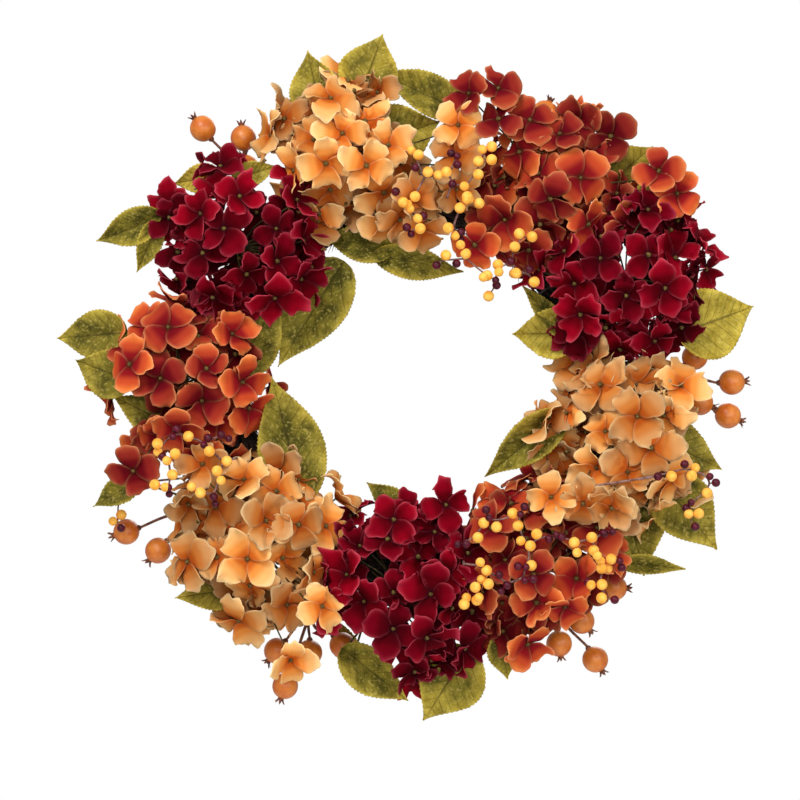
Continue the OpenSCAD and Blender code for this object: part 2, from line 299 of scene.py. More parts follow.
def blades(name):
    """Root, tip and width of each flat leaf blade in a node."""
    points, tris = node_points(name)
    normal, _ = face_normals(points, tris)
    found = []
    for group in islands(tris[normal[:, 1] < LIES_FLAT]):
        _, sizes = face_normals(points, group)
        if sizes.sum() < LEAST_BLADE:
            continue
        middle = (points[group].sum(axis=1) / 3 * sizes[:, None]).sum(0) / sizes.sum()
        p = points[np.unique(group)]
        gaps = norm(p[:, None] - p[None], axis=2)
        i, j = np.unravel_index(gaps.argmax(), gaps.shape)
        root, tip = sorted((p[i], p[j]), key=lambda end: norm(end - middle))
        side = unit(np.cross(tip - root, [0, 1, 0]))
        spread = (p - root) @ side
        found.append((root, tip, spread.max() - spread.min()))
    return found


def clock_of(p):
    """Angle of a place round the ring in degrees, clockwise from the top."""
    return math.degrees(math.atan2(p[0], p[2])) % 360


def reach_of(p):
    """Distance of a place from the ring's centre, seen from the front."""
    return math.hypot(p[0], p[2])


def turn_from(start, clock):
    """How far round from one clock angle to another, from -180 to 180 degrees."""
    return (clock - start + 180) % 360 - 180


def at(clock, radius, depth):
    """Place at a clock angle, a distance from the ring's centre and a distance before the door."""
    a = math.radians(clock)
    return np.array([radius * math.sin(a), -depth, radius * math.cos(a)])


# ---- materials

def set_inputs(node, values):
    for name, value in values.items():
        node.inputs[name].default_value = value


def new_material(name, roughness, level=0.15):
    material = bpy.data.materials.new(name)
    material.use_nodes = True
    surface = material.node_tree.nodes["Principled BSDF"]
    set_inputs(surface, {"Roughness": roughness, "Specular IOR Level": level})
    return material, material.node_tree, surface


def srgb(red, green, blue):
    """A linear colour from 0-255 display values."""
    def linear(v):
        v = v / 255
        return v / 12.92 if v <= 0.04045 else ((v + 0.055) / 1.055) ** 2.4
    return (linear(red), linear(green), linear(blue), 1)


def plug(tree, value, socket):
    """Gives a socket a number or colour, or links it to a value worked out by nodes."""
    if isinstance(value, Value):
        tree.links.new(value.socket, socket)
    else:
        socket.default_value = value


class Value:
    """What a node gives. Sums with it add the nodes for them to the material."""

    def __init__(self, tree, socket):
        self.tree = tree
        self.socket = socket

    def maths(self, operation, *inputs):
        node = self.tree.nodes.new("ShaderNodeMath")
        node.operation = operation
        for value, socket in zip(inputs, node.inputs):
            plug(self.tree, value, socket)
        return Value(self.tree, node.outputs[0])

    def __add__(self, other):
        return self.maths("ADD", self, other)

    def __sub__(self, other):
        return self.maths("SUBTRACT", self, other)

    def __rsub__(self, other):
        return self.maths("SUBTRACT", other, self)

    def __mul__(self, other):
        return self.maths("MULTIPLY", self, other)

    def __pow__(self, other):
        return self.maths("POWER", self, other)

    def __abs__(self):
        return self.maths("ABSOLUTE", self)

    def sine(self):
        return self.maths("SINE", self)

    def fraction(self):
        return self.maths("FRACT", self)

    def maximum(self, other):
        return self.maths("MAXIMUM", self, other)

    def clamped(self):
        """The same, kept between 0 and 1."""
        self.socket.node.use_clamp = True
        return self


def ramp(stops, value):
    node = value.tree.nodes.new("ShaderNodeValToRGB")
    node.color_ramp.interpolation = "EASE"
    elements = node.color_ramp.elements
    while len(elements) < len(stops):
        elements.new(0.5)
    for element, (place, colour) in zip(elements, stops):
        element.position = place
        element.color = colour
    plug(value.tree, value, node.inputs["Fac"])
    return Value(value.tree, node.outputs["Color"])


def mix_colour(share, a, b, blend="MIX"):
    node = share.tree.nodes.new("ShaderNodeMix")
    node.data_type = "RGBA"
    node.blend_type = blend
    for value, socket in ((share, node.inputs["Factor"]), (a, node.inputs[6]), (b, node.inputs[7])):
        plug(share.tree, value, socket)
    return Value(share.tree, node.outputs[2])


def noise(tree, scale, detail):
    node = tree.nodes.new("ShaderNodeTexNoise")
    set_inputs(node, {"Scale": scale, "Detail": detail})
    tree.links.new(tree.nodes.new("ShaderNodeTexCoord").outputs["Object"], node.inputs["Vector"])
    return Value(tree, node.outputs["Fac"])


def clouds(tree, scale, detail, level, gain):
    """Soft patches where noise is above a level."""
    return (noise(tree, scale, detail) - level) * gain


def mark(tree):
    """The four numbers stored on each point."""
    node = tree.nodes.new("ShaderNodeAttribute")
    node.attribute_name = "mark"
    split = tree.nodes.new("ShaderNodeSeparateColor")
    tree.links.new(node.outputs["Color"], split.inputs["Color"])
    return [Value(tree, socket) for socket in (*split.outputs, node.outputs["Alpha"])]


def add_bump(surface, height, strength, distance):
    node = height.tree.nodes.new("ShaderNodeBump")
    set_inputs(node, {"Strength": strength, "Distance": distance})
    plug(height.tree, height, node.inputs["Height"])
    height.tree.links.new(node.outputs["Normal"], surface.inputs["Normal"])


def petal_material(name, stops, tint, tint_share, vein, edge):
    """Cloth petal. mark: share of the length, nearness to the rim, place in the fan of veins, light (a
    painted brightness: painted shade on the inner florets, a random tone on the others).
    """
    material, tree, surface = new_material(name, roughness=0.85, level=0.03)
    along, rim, fan, light = mark(tree)
    # The ramp runs from a very dark base to a pale tip: partly the cloth's own darker middle, partly painted
    # shade where the petals meet round the bead
    colour = ramp(stops, along)
    # Florets darkened by painted shade take the tint, and so do some patches of the cloth's own colour
    patches = clouds(tree, scale=26, detail=1, level=0.46, gain=4.0).clamped()
    tone = (patches * 0.55 + (0.78 - light) * 2.6).clamped()
    colour = mix_colour(tone * tint_share, colour, tint, "MULTIPLY")
    # Thin wavering veins fan out from the middle of the floret
    lines = abs((fan * 60.0 + noise(tree, 110, 2) * 7).sine()) ** 5
    colour = mix_colour(lines * 0.2, colour, vein)
    colour = mix_colour(noise(tree, 75, 3) * 0.4, colour, vein)
    # The rim is pale, more so towards the tip: partly the cloth's own paler edge, partly a painted sheen
    colour = mix_colour(rim ** 11 * along ** 0.7 * 0.65, colour, edge)
    # Painted shade: the light mark scales the brightness, low on the inner florets so that they look
    # shadowed, varying at random on the others
    painted_shade_and_tone = tree.nodes.new("ShaderNodeHueSaturation")
    plug(tree, light * 0.68 + 0.36, painted_shade_and_tone.inputs["Value"])
    plug(tree, colour, painted_shade_and_tone.inputs["Color"])
    tree.links.new(painted_shade_and_tone.outputs["Color"], surface.inputs["Base Color"])
    weave = noise(tree, 1400, 2)
    add_bump(surface, weave + lines * -0.8, strength=0.3, distance=0.0004)
    return material


# The first stop of each ramp is near black: painted shade at the petals' base, over the cloth's darker
# middle
GOLD = petal_material(
    "gold_petal",
    stops=[(0.0, srgb(104, 32, 4)), (0.16, srgb(192, 84, 20)), (0.42, srgb(232, 148, 68)),
           (0.75, srgb(248, 194, 120)), (1.0, srgb(254, 214, 150))],
    tint=srgb(244, 228, 236), tint_share=0.8, vein=srgb(204, 104, 30), edge=srgb(255, 226, 166))
RUST = petal_material(
    "rust_petal",
    stops=[(0.0, srgb(40, 0, 10)), (0.3, srgb(134, 20, 28)), (0.62, srgb(204, 80, 42)),
           (1.0, srgb(242, 132, 60))],
    tint=srgb(212, 152, 255), tint_share=0.9, vein=srgb(132, 20, 20), edge=srgb(254, 174, 116))
BURGUNDY = petal_material(
    "burgundy_petal",
    stops=[(0.0, srgb(24, 0, 6)), (0.3, srgb(98, 0, 12)), (0.7, srgb(148, 2, 26)),
           (1.0, srgb(168, 10, 38))],
    tint=srgb(216, 216, 255), tint_share=0.8, vein=srgb(70, 0, 8), edge=srgb(214, 84, 100))
PETALS = {"gold": GOLD, "rust": RUST, "burgundy": BURGUNDY}


def leaf_material():
    """mark: share of the length, share of the half width, yellowness, count along the side veins."""
    material, tree, surface = new_material("leaf", roughness=0.75, level=0.1)
    along, across, yellow, flow = mark(tree)
    green = ramp([(0.32, srgb(70, 66, 18)), (0.68, srgb(130, 118, 40))], noise(tree, 70, 4))
    gold = ramp([(0.3, srgb(168, 144, 44)), (0.7, srgb(214, 190, 78))], noise(tree, 130, 4))
    # Leaves turn yellow from the tip and the edges, in blotches
    rim = (along ** 1.5).maximum(across ** 1.4) ** 2.2
    blotches = clouds(tree, scale=48, detail=4, level=0.5, gain=1.6)
    share = (rim * 0.7 + (yellow - 0.34) + blotches).clamped()
    colour = mix_colour(share, green, gold)
    specks = clouds(tree, scale=620, detail=3, level=0.5, gain=3.0).clamped()
    colour = mix_colour(specks * 0.5, colour, srgb(66, 58, 16))
    flecks = clouds(tree, scale=380, detail=4, level=0.53, gain=6.0).clamped()
    colour = mix_colour(flecks * 0.42, colour, srgb(206, 186, 100))
    # A side vein runs where the count passes a half, and the rib along the middle
    from_vein = abs((flow + noise(tree, 90, 2) * 0.22).fraction() - 0.5)
    side = (from_vein * -11.0 + 1.0).clamped() * (1.0 - across ** 6)
    rib = (across * -15.0 + 1.0).clamped()
    colour = mix_colour((side * 0.75).maximum(rib) * 0.7, colour, srgb(46, 38, 10))
    plug(tree, colour, surface.inputs["Base Color"])
    add_bump(surface, noise(tree, 1100, 3), strength=0.45, distance=0.0005)
    return material


def plain_material(name, dark, light, scale, roughness, coat=0.0, bump=0.15, fine=900, level=0.25):
    """One colour with soft cloudy change, for stems, beads, hips, berries and wires."""
    material, tree, surface = new_material(name, roughness, level)
    set_inputs(surface, {"Coat Weight": coat, "Coat Roughness": 0.25})
    plug(tree, ramp([(0.3, dark), (0.7, light)], noise(tree, scale, 3)), surface.inputs["Base Color"])
    if bump:
        add_bump(surface, noise(tree, fine, 3), bump, 0.0004)
    return material


LEAF = leaf_material()
BEAD = plain_material("floret_bead", srgb(64, 46, 16), srgb(112, 92, 42), 500, 0.6)
STALK = plain_material("flower_stem", srgb(40, 30, 16), srgb(86, 76, 34), 200, 0.7)
HIP = plain_material(
    "rose_hip", srgb(190, 94, 24), srgb(218, 128, 46), 90, 0.42, coat=0.15, bump=0.05, level=0.4)
HIP_STEM = plain_material("hip_stem", srgb(82, 42, 28), srgb(136, 86, 64), 260, 0.6)
BERRY_STEM = plain_material("berry_stem", srgb(88, 54, 52), srgb(150, 116, 108), 300, 0.55)
YELLOW_BERRY = plain_material(
    "yellow_berry", srgb(240, 160, 52), srgb(254, 196, 90), 160, 0.75, bump=0.3, fine=1500)
BURGUNDY_BERRY = plain_material(
    "burgundy_berry", srgb(54, 2, 18), srgb(92, 8, 34), 200, 0.42, coat=0.06, bump=0.0, level=0.22)
VINE = plain_material("vine", srgb(16, 11, 9), srgb(50, 36, 27), 150, 0.85, bump=0.6, fine=400)
WIRE = plain_material("binding_wire", srgb(40, 39, 37), srgb(74, 72, 69), 300, 0.5)
METAL = plain_material("hanger_metal", srgb(140, 138, 132), srgb(172, 170, 164), 200, 0.35, bump=0.05)
set_inputs(METAL.node_tree.nodes["Principled BSDF"], {"Metallic": 0.9})


# ---- florets

# Points each way over a petal, and the thickness of the cloth
PETAL_POINTS = 11
CLOTH = 0.5
# A petal starts this far from the middle of its floret
PETAL_START = 0.8
# Bead in the middle of a floret: distance along its axis and share of its radius
BEAD_PROFILE = [(-1.2, 0), (-0.6, 0.8), (0.6, 1), (1.7, 0.8), (2.4, 0.35), (2.6, 0)]

# Petal style of each colour: half width by length, ruffle, point, fold
PETAL_STYLE = {
    "gold": (0.55, 3.8, 0.45, 0.14),
    "rust": (0.57, 2.5, 0.1, 0.08),
    "burgundy": (0.53, 3.6, 0.7, 0.28)}
FLORET_RADIUS = {"gold": 26.0, "rust": 25.0, "burgundy": 24.0}

# Map of a floret's underside: its reach by the floret's radius and its cells each way
MAP_REACH = 1.2
MAP_CELLS = 20
# Space left under a petal, and the most that another petal is pressed down
PRESS_GAP = 1.0
PRESS_LIMIT = 11.0


def petal_grid(length, width, lift, curl, cup, ruffle, point, fold, phase):
    """Grid of points of one spoon-shaped petal that grows from the origin along +X."""
    s = np.linspace(-1, 1, PETAL_POINTS)[:, None]
    t = np.linspace(-1, 1, PETAL_POINTS)[None, :]
    # The square grid is rounded to a disc, so that the outline is smooth
    x = s * np.sqrt(1 - t * t / 2)
    y = t * np.sqrt(1 - s * s / 2)
    rim = np.hypot(x, y)
    around = np.arctan2(y, x)
    along = (x + 1) / 2
    reach_share = along * (1 + 0.03 * ruffle * rim ** 3 * np.sin(3 * around + phase))
    reach_share = reach_share + 0.012 * ruffle * rim ** 5 * along * np.sin(9 * around - phase)
    reach_share = reach_share + 0.14 * point * along ** 5 * np.exp(-(y / 0.3) ** 2)
    half = width * (0.52 + 0.66 * along) * (1 - 0.3 * point * along ** 4)
    # The petal's middle line bends as it goes out
    share = np.linspace(0, 1.25, 26)
    angle = lift + curl * share ** 1.5
    step = length * share[1]
    reach = np.concatenate([[0], np.cumsum(np.cos(angle[1:]) * step)])
    rise = np.concatenate([[0], np.cumsum(np.sin(angle[1:]) * step)])
    out = np.interp(reach_share, share, reach)
    up = np.interp(reach_share, share, rise)
    side = y * half
    up = up + cup * length * y ** 2 * along + fold * np.abs(side) * (0.4 + 0.6 * along)
    up = up + ruffle * rim ** 3 * along * np.sin(2.5 * around + phase)
    up = up + 0.7 * ruffle * rim ** 4 * along * np.sin(6 * around + 2 * phase)
    up = up + 0.32 * ruffle * rim ** 6 * along * np.sin(10 * around + 3 * phase)
    fan = 0.5 + side / (out + 0.35 * length)
    return np.stack([out, side, up], axis=2), along, rim, fan


def make_floret(beads, centre, facing, radius, colour, light=(0.4, 1.0)):
    """Four petals and a bead. centre is where the petals meet and facing the way they open."""
    a, b = across_to(facing)
    d = unit(facing)
    spin = rng.uniform(0, math.pi / 2)
    openness = rng.uniform(0.0, 0.6)
    width, ruffle, point, fold = PETAL_STYLE[colour]
    # The floret's light is a painted brightness: painted shade where it is low, a random tone where it is
    # high
    floret_shade_and_tone = rng.uniform(*light)
    # Each petal laps over the next one round the floret
    lap = rng.choice([-1, 1]) * rng.uniform(0.14, 0.26)
    petals = []
    for k in range(4):
        length = radius * rng.uniform(0.9, 1.06)
        grid, along, rim, fan = petal_grid(
            length=length,
            width=length * width * rng.uniform(0.92, 1.08),
            lift=openness + rng.uniform(-0.16, 0.16),
            curl=rng.uniform(-1.1, 0.2) - openness * 0.5,
            cup=rng.uniform(-0.12, 0.3),
            ruffle=ruffle * rng.uniform(0.4, 1.2),
            point=point * rng.uniform(0.3, 1.3),
            fold=fold * rng.uniform(0.3, 1.6),
            phase=rng.uniform(0, 6.28))
        points, faces, border = grid_sheet(grid, CLOTH)
        turn = spin + k * math.pi / 2 + rng.uniform(-0.12, 0.12)
        twist = lap + rng.uniform(-0.07, 0.07)
        y, z = points[:, 1].copy(), points[:, 2].copy()
        points[:, 1] = y * math.cos(twist) - z * math.sin(twist)
        points[:, 2] = y * math.sin(twist) + z * math.cos(twist)
        x, y = points[:, 0] + PETAL_START, points[:, 1]
        flat_x = x * math.cos(turn) - y * math.sin(turn)
        flat_y = x * math.sin(turn) + y * math.cos(turn)
        world = centre + np.outer(flat_x, a) + np.outer(flat_y, b) + np.outer(points[:, 2], d)
        petal_shade_and_tone = np.clip(floret_shade_and_tone + rng.uniform(-0.1, 0.1), 0, 1)
        petals.append([world, faces, sheet_marks(along, rim, fan, petal_shade_and_tone), border])
    size = rng.uniform(1.7, 2.4)
    lathe(beads, centre, d, [(along, size * share) for along, share in BEAD_PROFILE], sides=10, wobble=0.12)
    axes = np.array([a, b, d])
    return {"centre": centre, "axes": axes, "radius": radius, "colour": colour, "petals": petals}


def cells_of(floret, points):
    """Cell of each point on the map of a floret, which of them are on it, and their heights."""
    local = (points - floret["centre"]) @ floret["axes"].T
    reach = MAP_REACH * floret["radius"]
    cells = np.floor((local[:, :2] / reach + 1) / 2 * MAP_CELLS).astype(int)
    on_map = ((cells >= 0) & (cells < MAP_CELLS)).all(axis=1)
    return np.clip(cells, 0, MAP_CELLS - 1), on_map, local[:, 2]


def underside(floret):
    """Map of the lowest height of a floret's petals in each cell, one cell beyond their edges."""
    lowest = np.full((MAP_CELLS, MAP_CELLS), np.inf)
    points = np.concatenate([petal[0] for petal in floret["petals"]])
    cells, on_map, height = cells_of(floret, points)
    np.minimum.at(lowest, (cells[on_map, 0], cells[on_map, 1]), height[on_map])
    wide = np.pad(lowest, 1, constant_values=np.inf)
    shifts = [wide[i:i + MAP_CELLS, j:j + MAP_CELLS] for i in range(3) for j in range(3)]
    return np.where(np.isinf(lowest), np.min(shifts, axis=0), lowest)


def eased(push):
    """A petal's push spread smoothly over its grid of points, but nowhere less than it was."""
    grid = push.reshape(2, PETAL_POINTS, PETAL_POINTS, 3).mean(axis=0)
    soft = grid
    for _ in range(4):
        wide = np.pad(soft, ((1, 1), (1, 1), (0, 0)), mode="edge")
        soft = (wide[:-2, 1:-1] + wide[2:, 1:-1] + wide[1:-1, :-2] + wide[1:-1, 2:]) / 4
    more = norm(soft, axis=2, keepdims=True) > norm(grid, axis=2, keepdims=True)
    return np.tile(np.where(more, soft, grid).reshape(-1, 3), (2, 1))


def press_down(florets, middle):
    """Bends the petals of inner florets down under those of the florets that stand further out."""
    outer = []
    for floret in sorted(florets, key=lambda f: -norm(f["centre"] - middle)):
        for petal in floret["petals"]:
            push = np.zeros_like(petal[0])
            for other, low in outer:
                apart = norm(other["centre"] - floret["centre"])
                if apart > other["radius"] + floret["radius"]:
                    continue
                cells, on_map, height = cells_of(other, petal[0])
                over = np.where(on_map, height - low[cells[:, 0], cells[:, 1]] + PRESS_GAP, 0)
                over = np.clip(over, 0, PRESS_LIMIT) * np.clip(petal[2][:, 0] * 3, 0, 1)
                push -= over[:, None] * other["axes"][2]
            petal[0] = petal[0] + eased(push)
        outer.append((floret, underside(floret)))


HEAD_NAMES = [name[:-len("_petals")] for name in frame["nodes"] if name.endswith("_petals")]
DOMES = {name: fit_dome(name + "_petals") for name in HEAD_NAMES}
# The heads in their order round the ring
ROUND = sorted(HEAD_NAMES, key=lambda name: clock_of(DOMES[name][0]))

# Size and place of the vine bundle, from its CAD solid
VINE_POINTS, _ = node_points("base_vines")
VINE_REACH = np.hypot(VINE_POINTS[:, 0], VINE_POINTS[:, 2])
RING_R = (VINE_REACH.max() + VINE_REACH.min()) / 2
BUNDLE_R = (VINE_REACH.max() - VINE_REACH.min()) / 2
RING_DEPTH = -(VINE_POINTS[:, 1].max() + VINE_POINTS[:, 1].min()) / 2
# Stems lie on the front of the bundle
STEM_DEPTH = RING_DEPTH + BUNDLE_R * 0.87
STEM_R = 2.2
STALK_R = 0.75
# Arc of clock before its head over which a stem lies on the vines
TIED_FROM = -13
TIED_TO = -3

# Florets that stand out of the round of their head: colour, clock, reach and depth of each
STRAYS = {
    "gold_top": [
        ("gold", 11, 226, 92), ("gold", 12, 200, 96), ("gold", 14, 172, 84),
        ("gold", 5, 132, 84), ("gold", 357, 140, 98), ("gold", 2, 158, 104)],
    "rust_top_right": [
        ("rust", 12, 255, 88), ("rust", 17, 266, 84), ("rust", 19, 240, 94),
        ("rust", 25, 250, 86), ("rust", 50, 284, 84), ("rust", 26, 132, 86)],
    "burgundy_right": [("rust", 55, 285, 80)],
    "gold_right": [("gold", 129, 158, 112), ("gold", 125, 182, 122), ("gold", 122, 205, 124)],
    "burgundy_bottom": [("burgundy", 163, 112, 82), ("burgundy", 186, 120, 96)],
    "gold_bottom_left": [("gold", 248, 190, 116), ("gold", 201, 206, 122), ("gold", 203, 262, 84)],
    "rust_left": [("rust", 252, 250, 92)]}

# Gaps between the florets on the outside of a head and between those inside it
FLORET_GAP = 25.5
INNER_GAP = 25.0
# Outer florets start this far below the dome, and the head's lumps lift some by as much as LUMP_RISE
DOME_INSET = 17
LUMP_RISE = 9
# No floret lies nearer to the door than this, or past the sides of its head by more than these
NEAREST_TO_DOOR = 38
OUTER_MARGIN = 9
INNER_MARGIN = 6
# Inner florets stay within this share of the dome's radius
INNER_SHARE = 0.82
TOWARDS_VIEWER = np.array([0, -1.0, 0])
# Neighbouring florets stand at different heights, so that their petals lie over each other
LAYERS = (-6.5, 0.0, 6.5)
NEIGHBOUR = 40.0
# Florets leave the outer hips and the middles of the leaves free, by this much
OPEN_HIPS_FROM = 255
OPEN_LEAF_SHARE = 0.66
HIP_CLEARANCE = 25
LEAF_CLEARANCE = 28


def sector(name):
    """Clock angles of the two sides of a head, midway to its neighbours, about its own clock."""
    k = ROUND.index(name)
    mine = clock_of(DOMES[name][0])
    before = turn_from(mine, clock_of(DOMES[ROUND[k - 1]][0]))
    after = turn_from(mine, clock_of(DOMES[ROUND[(k + 1) % len(ROUND)]][0]))
    return mine, before / 2, after / 2


def stem_ends(name):
    """Where the stem of a head leaves the vines, and where its stalks part."""
    centre, radius = DOMES[name]
    hub = centre + np.array([0, -0.45 * radius, 0])
    return at(clock_of(centre) + TIED_TO, RING_R, STEM_DEPTH), hub


def spread_out(draw, gap, tries):
    """Spots from draw() that keep a gap between each other."""
    spots = np.empty((0, 3))
    for _ in range(tries):
        spot = draw()
        if spot is not None and (norm(spots - spot, axis=1) > gap).all():
            spots = np.vstack([spots, spot])
    return spots


def layered(spots):
    """A height for each spot, unlike those of the spots round it where it can be."""
    heights = []
    for k, spot in enumerate(spots):
        near = [heights[j] for j in range(k) if norm(spots[j] - spot) < NEIGHBOUR]
        heights.append(min(rng.permutation(LAYERS), key=near.count))
    return heights


OPEN_SPOTS = [
    (centre, HIP_CLEARANCE) for node in frame["nodes"] if node.endswith("_hips")
    for centre, _ in solids(node) if reach_of(centre) > OPEN_HIPS_FROM]
OPEN_SPOTS += [
    (root + (tip - root) * OPEN_LEAF_SHARE, LEAF_CLEARANCE)
    for node in frame["nodes"] if node.endswith("_leaves")
    for root, tip, _ in blades(node)]


# The florets and the fine twigs leave room round the bar that the hanger ring swings on
BAR = {joint["name"]: np.array(joint["pos_m"]) for joint in frame["joints"]}["hanger_swing"] / MM - HOME
HANGER_ROOM = 58
TWIG_ROOM = 34


def hides(spot):
    """Whether a floret at a spot would cover a hip or a leaf, or be in the way of the hanger ring."""
    if norm(spot - BAR) < HANGER_ROOM:
        return True
    return any(reach_of(spot - place) < free for place, free in OPEN_SPOTS)


def build_head(name):
    """Florets, beads, stalks and stem of one head."""
    colour = name.split("_")[0]
    centre, radius = DOMES[name]
    mine, low, high = sector(name)
    beads, stalks = Shape(), Shape()
    foot, hub = stem_ends(name)
    lumps = rng.normal(0, 1, (5, 3))

    def in_sector(spot, margin):
        """Whether a spot is between the sides of this head, or past them by less than a margin."""
        margin = math.degrees(margin / reach_of(spot))
        return low - margin < turn_from(mine, clock_of(spot)) < high + margin

    def on_dome():
        """A random spot on the outside of the head, or None where no floret may be."""
        direction = unit(rng.normal(0, 1, 3))
        if direction[1] > 0.3:
            return None
        lump = sum(math.exp(3 * (direction @ unit(l) - 1)) for l in lumps) / 2
        spot = centre + direction * (radius - DOME_INSET + LUMP_RISE * lump)
        fits = in_sector(spot, OUTER_MARGIN) and -spot[1] > NEAREST_TO_DOOR and not hides(spot)
        return spot if fits else None

    def inside():
        """A random spot behind the outer florets, or None where no floret may be."""
        across = rng.uniform(-INNER_SHARE, INNER_SHARE, 2) * radius
        depth = centre[1] - radius * (0.5 - 0.3 * (across @ across) / radius ** 2) + rng.uniform(-3, 3)
        spot = np.array([centre[0] + across[0], depth, centre[2] + across[1]])
        near = np.hypot(*across) < INNER_SHARE * radius
        return spot if near and in_sector(spot, INNER_MARGIN) and not hides(spot) else None

    florets = []
    spots = spread_out(on_dome, FLORET_GAP, 3000)
    for spot, height in zip(spots, layered(spots)):
        direction = unit(spot - centre)
        spot = spot + direction * (height + rng.normal(0, 1.0))
        facing = unit(direction + rng.normal(0, 0.27, 3) + 0.25 * TOWARDS_VIEWER)
        size = FLORET_RADIUS[colour] * rng.uniform(0.86, 1.1)
        florets.append(make_floret(beads, spot, facing, size, colour))
    # Inner florets get a low light, which paints them in shade as if the outer florets shadowed them
    for spot in spread_out(inside, INNER_GAP, 900):
        facing = unit(rng.normal(0, 0.35, 3) + TOWARDS_VIEWER)
        size = FLORET_RADIUS[colour] * 0.95
        florets.append(make_floret(beads, spot, facing, size, colour, light=(0.1, 0.35)))
    for tone, clock, reach, depth in STRAYS.get(name, []):
        spot = at(clock, reach, depth)
        facing = unit(unit(spot - centre) * 0.5 + rng.normal(0, 0.25, 3) + TOWARDS_VIEWER)
        size = FLORET_RADIUS[tone] * rng.uniform(0.85, 1.0)
        florets.append(make_floret(beads, spot, facing, size, tone))
    press_down(florets, centre)
    shapes = {}
    for floret in florets:
        shape = shapes.setdefault(floret["colour"], Shape())
        for petal in floret["petals"]:
            shape.add(*petal)
        spot, facing = floret["centre"], floret["axes"][2]
        bend = spot - facing * 16 + rng.normal(0, 2, 3)
        path = smooth_path([hub, (hub + bend) / 2 + rng.normal(0, 3, 3), bend, spot - facing * 0.5], 5)
        tube(stalks, path, STALK_R, sides=6)
    back = at(mine + TIED_FROM, RING_R, STEM_DEPTH)
    middle = at(mine + (TIED_FROM + TIED_TO) / 2, RING_R, STEM_DEPTH)
    path = smooth_path([back, middle, foot, (foot + hub) / 2 + rng.normal(0, 2, 3), hub], 6)
    tube(stalks, path, np.linspace(STEM_R * 0.9, STEM_R, len(path)), sides=10)
    beads.build(name + "_beads", BEAD, "wreath", slot="flower_stem")
    stalks.build(name + "_stalks", STALK, "wreath", replaces=name + "_stem")
    shapes.pop(colour).build(name + "_florets", PETALS[colour], "wreath", replaces=name + "_petals")
    for tone, shape in shapes.items():
        shape.build(f"{name}_{tone}_floret", PETALS[tone], "wreath")


# ---- leaves

# Leaves that are yellower than the rest: clock of the tip, its radius, yellowness
YELLOW_LEAVES = [
    (78, 308, 0.80), (67, 100, 0.72), (311, 270, 0.95), (329, 222, 0.85), (197, 223, 0.85),
    (226, 279, 0.62), (46, 295, 0.52), (343, 300, 0.50), (356, 306, 0.45), (176, 300, 0.5)]
# Yellowness of the rest, inside the ring (roots nearer to its centre than INNER_ROOTS) and outside it
INNER_YELLOW = 0.16
OUTER_YELLOW = 0.3
INNER_ROOTS = 160
# A leaf is narrow if its width by its length is below this
NARROW = 0.45
# Leaves whose roots are nearer to the door than this grow from the vines, the rest from the stem
LOW_ROOT = 40
# Length of edge for each tooth, points for each tooth and points across a leaf
TOOTH = 3.2
TOOTH_POINTS = 4
ACROSS_POINTS = 17
LEAF_CLOTH = 0.6
# Side veins between root and tip, and a whole number that keeps their count above zero
SIDE_VEINS = 8.0
VEINS_OFFSET = 4


def leaf_surface(length, width, bend, fold, twist, wave, phase):
    """Grid of a toothed, veined leaf along +X, with its front towards +Z, and its marks."""
    teeth = max(10, int(length / TOOTH))
    rows = teeth * TOOTH_POINTS + 1
    u = np.linspace(0, 1, rows)[:, None]
    v = np.linspace(-1, 1, ACROSS_POINTS)[None, :]
    # Round at the root and drawn out to a point at the tip
    half = width / 2 * np.sin(math.pi * u ** 0.74) ** (0.6 + 0.7 * u) + 0.15
    tooth = (u * teeth) % 1.0
    edge = np.abs(v) ** 8 * np.sign(v) * (tooth - 0.5) * np.minimum(1.3, half * 0.12)
    share = np.linspace(0, 1, rows)
    angle = bend * (share - 0.2) + wave * 0.06 * np.sin(7 * share + phase)
    step = length / (rows - 1)
    reach = np.concatenate([[0], np.cumsum(np.cos(angle[1:]) * step)])[:, None]
    rise = np.concatenate([[0], np.cumsum(np.sin(angle[1:]) * step)])[:, None]
    slant = (np.abs(v) * half / width) ** 0.85 * 4.4
    flow = u * SIDE_VEINS - slant + 0.12 * np.sin(5 * u + phase * np.sign(v))
    across_flow = (flow % 1) - 0.5
    vein = np.exp(-(across_flow * 13) ** 2) * np.minimum(1, np.abs(v) * 6) * (1 - np.abs(v) ** 4)
    rib = np.exp(-(v * half / 0.8) ** 2)
    puff = np.cos(across_flow * 2 * math.pi) * (1 - v ** 2) * np.minimum(1, np.abs(v) * 4)
    y = half * v + edge
    z = fold * np.abs(y) - 0.9 * rib - 0.4 * vein - 0.45 * puff
    z = z + wave * v ** 2 * np.sin(u * 9 + phase + np.sign(v) * 0.8)
    turn = twist * u
    y, z = y * np.cos(turn) - z * np.sin(turn), rise + y * np.sin(turn) + z * np.cos(turn)
    return np.stack([reach + 0 * v, y, z], axis=2), u, np.abs(v), flow + VEINS_OFFSET


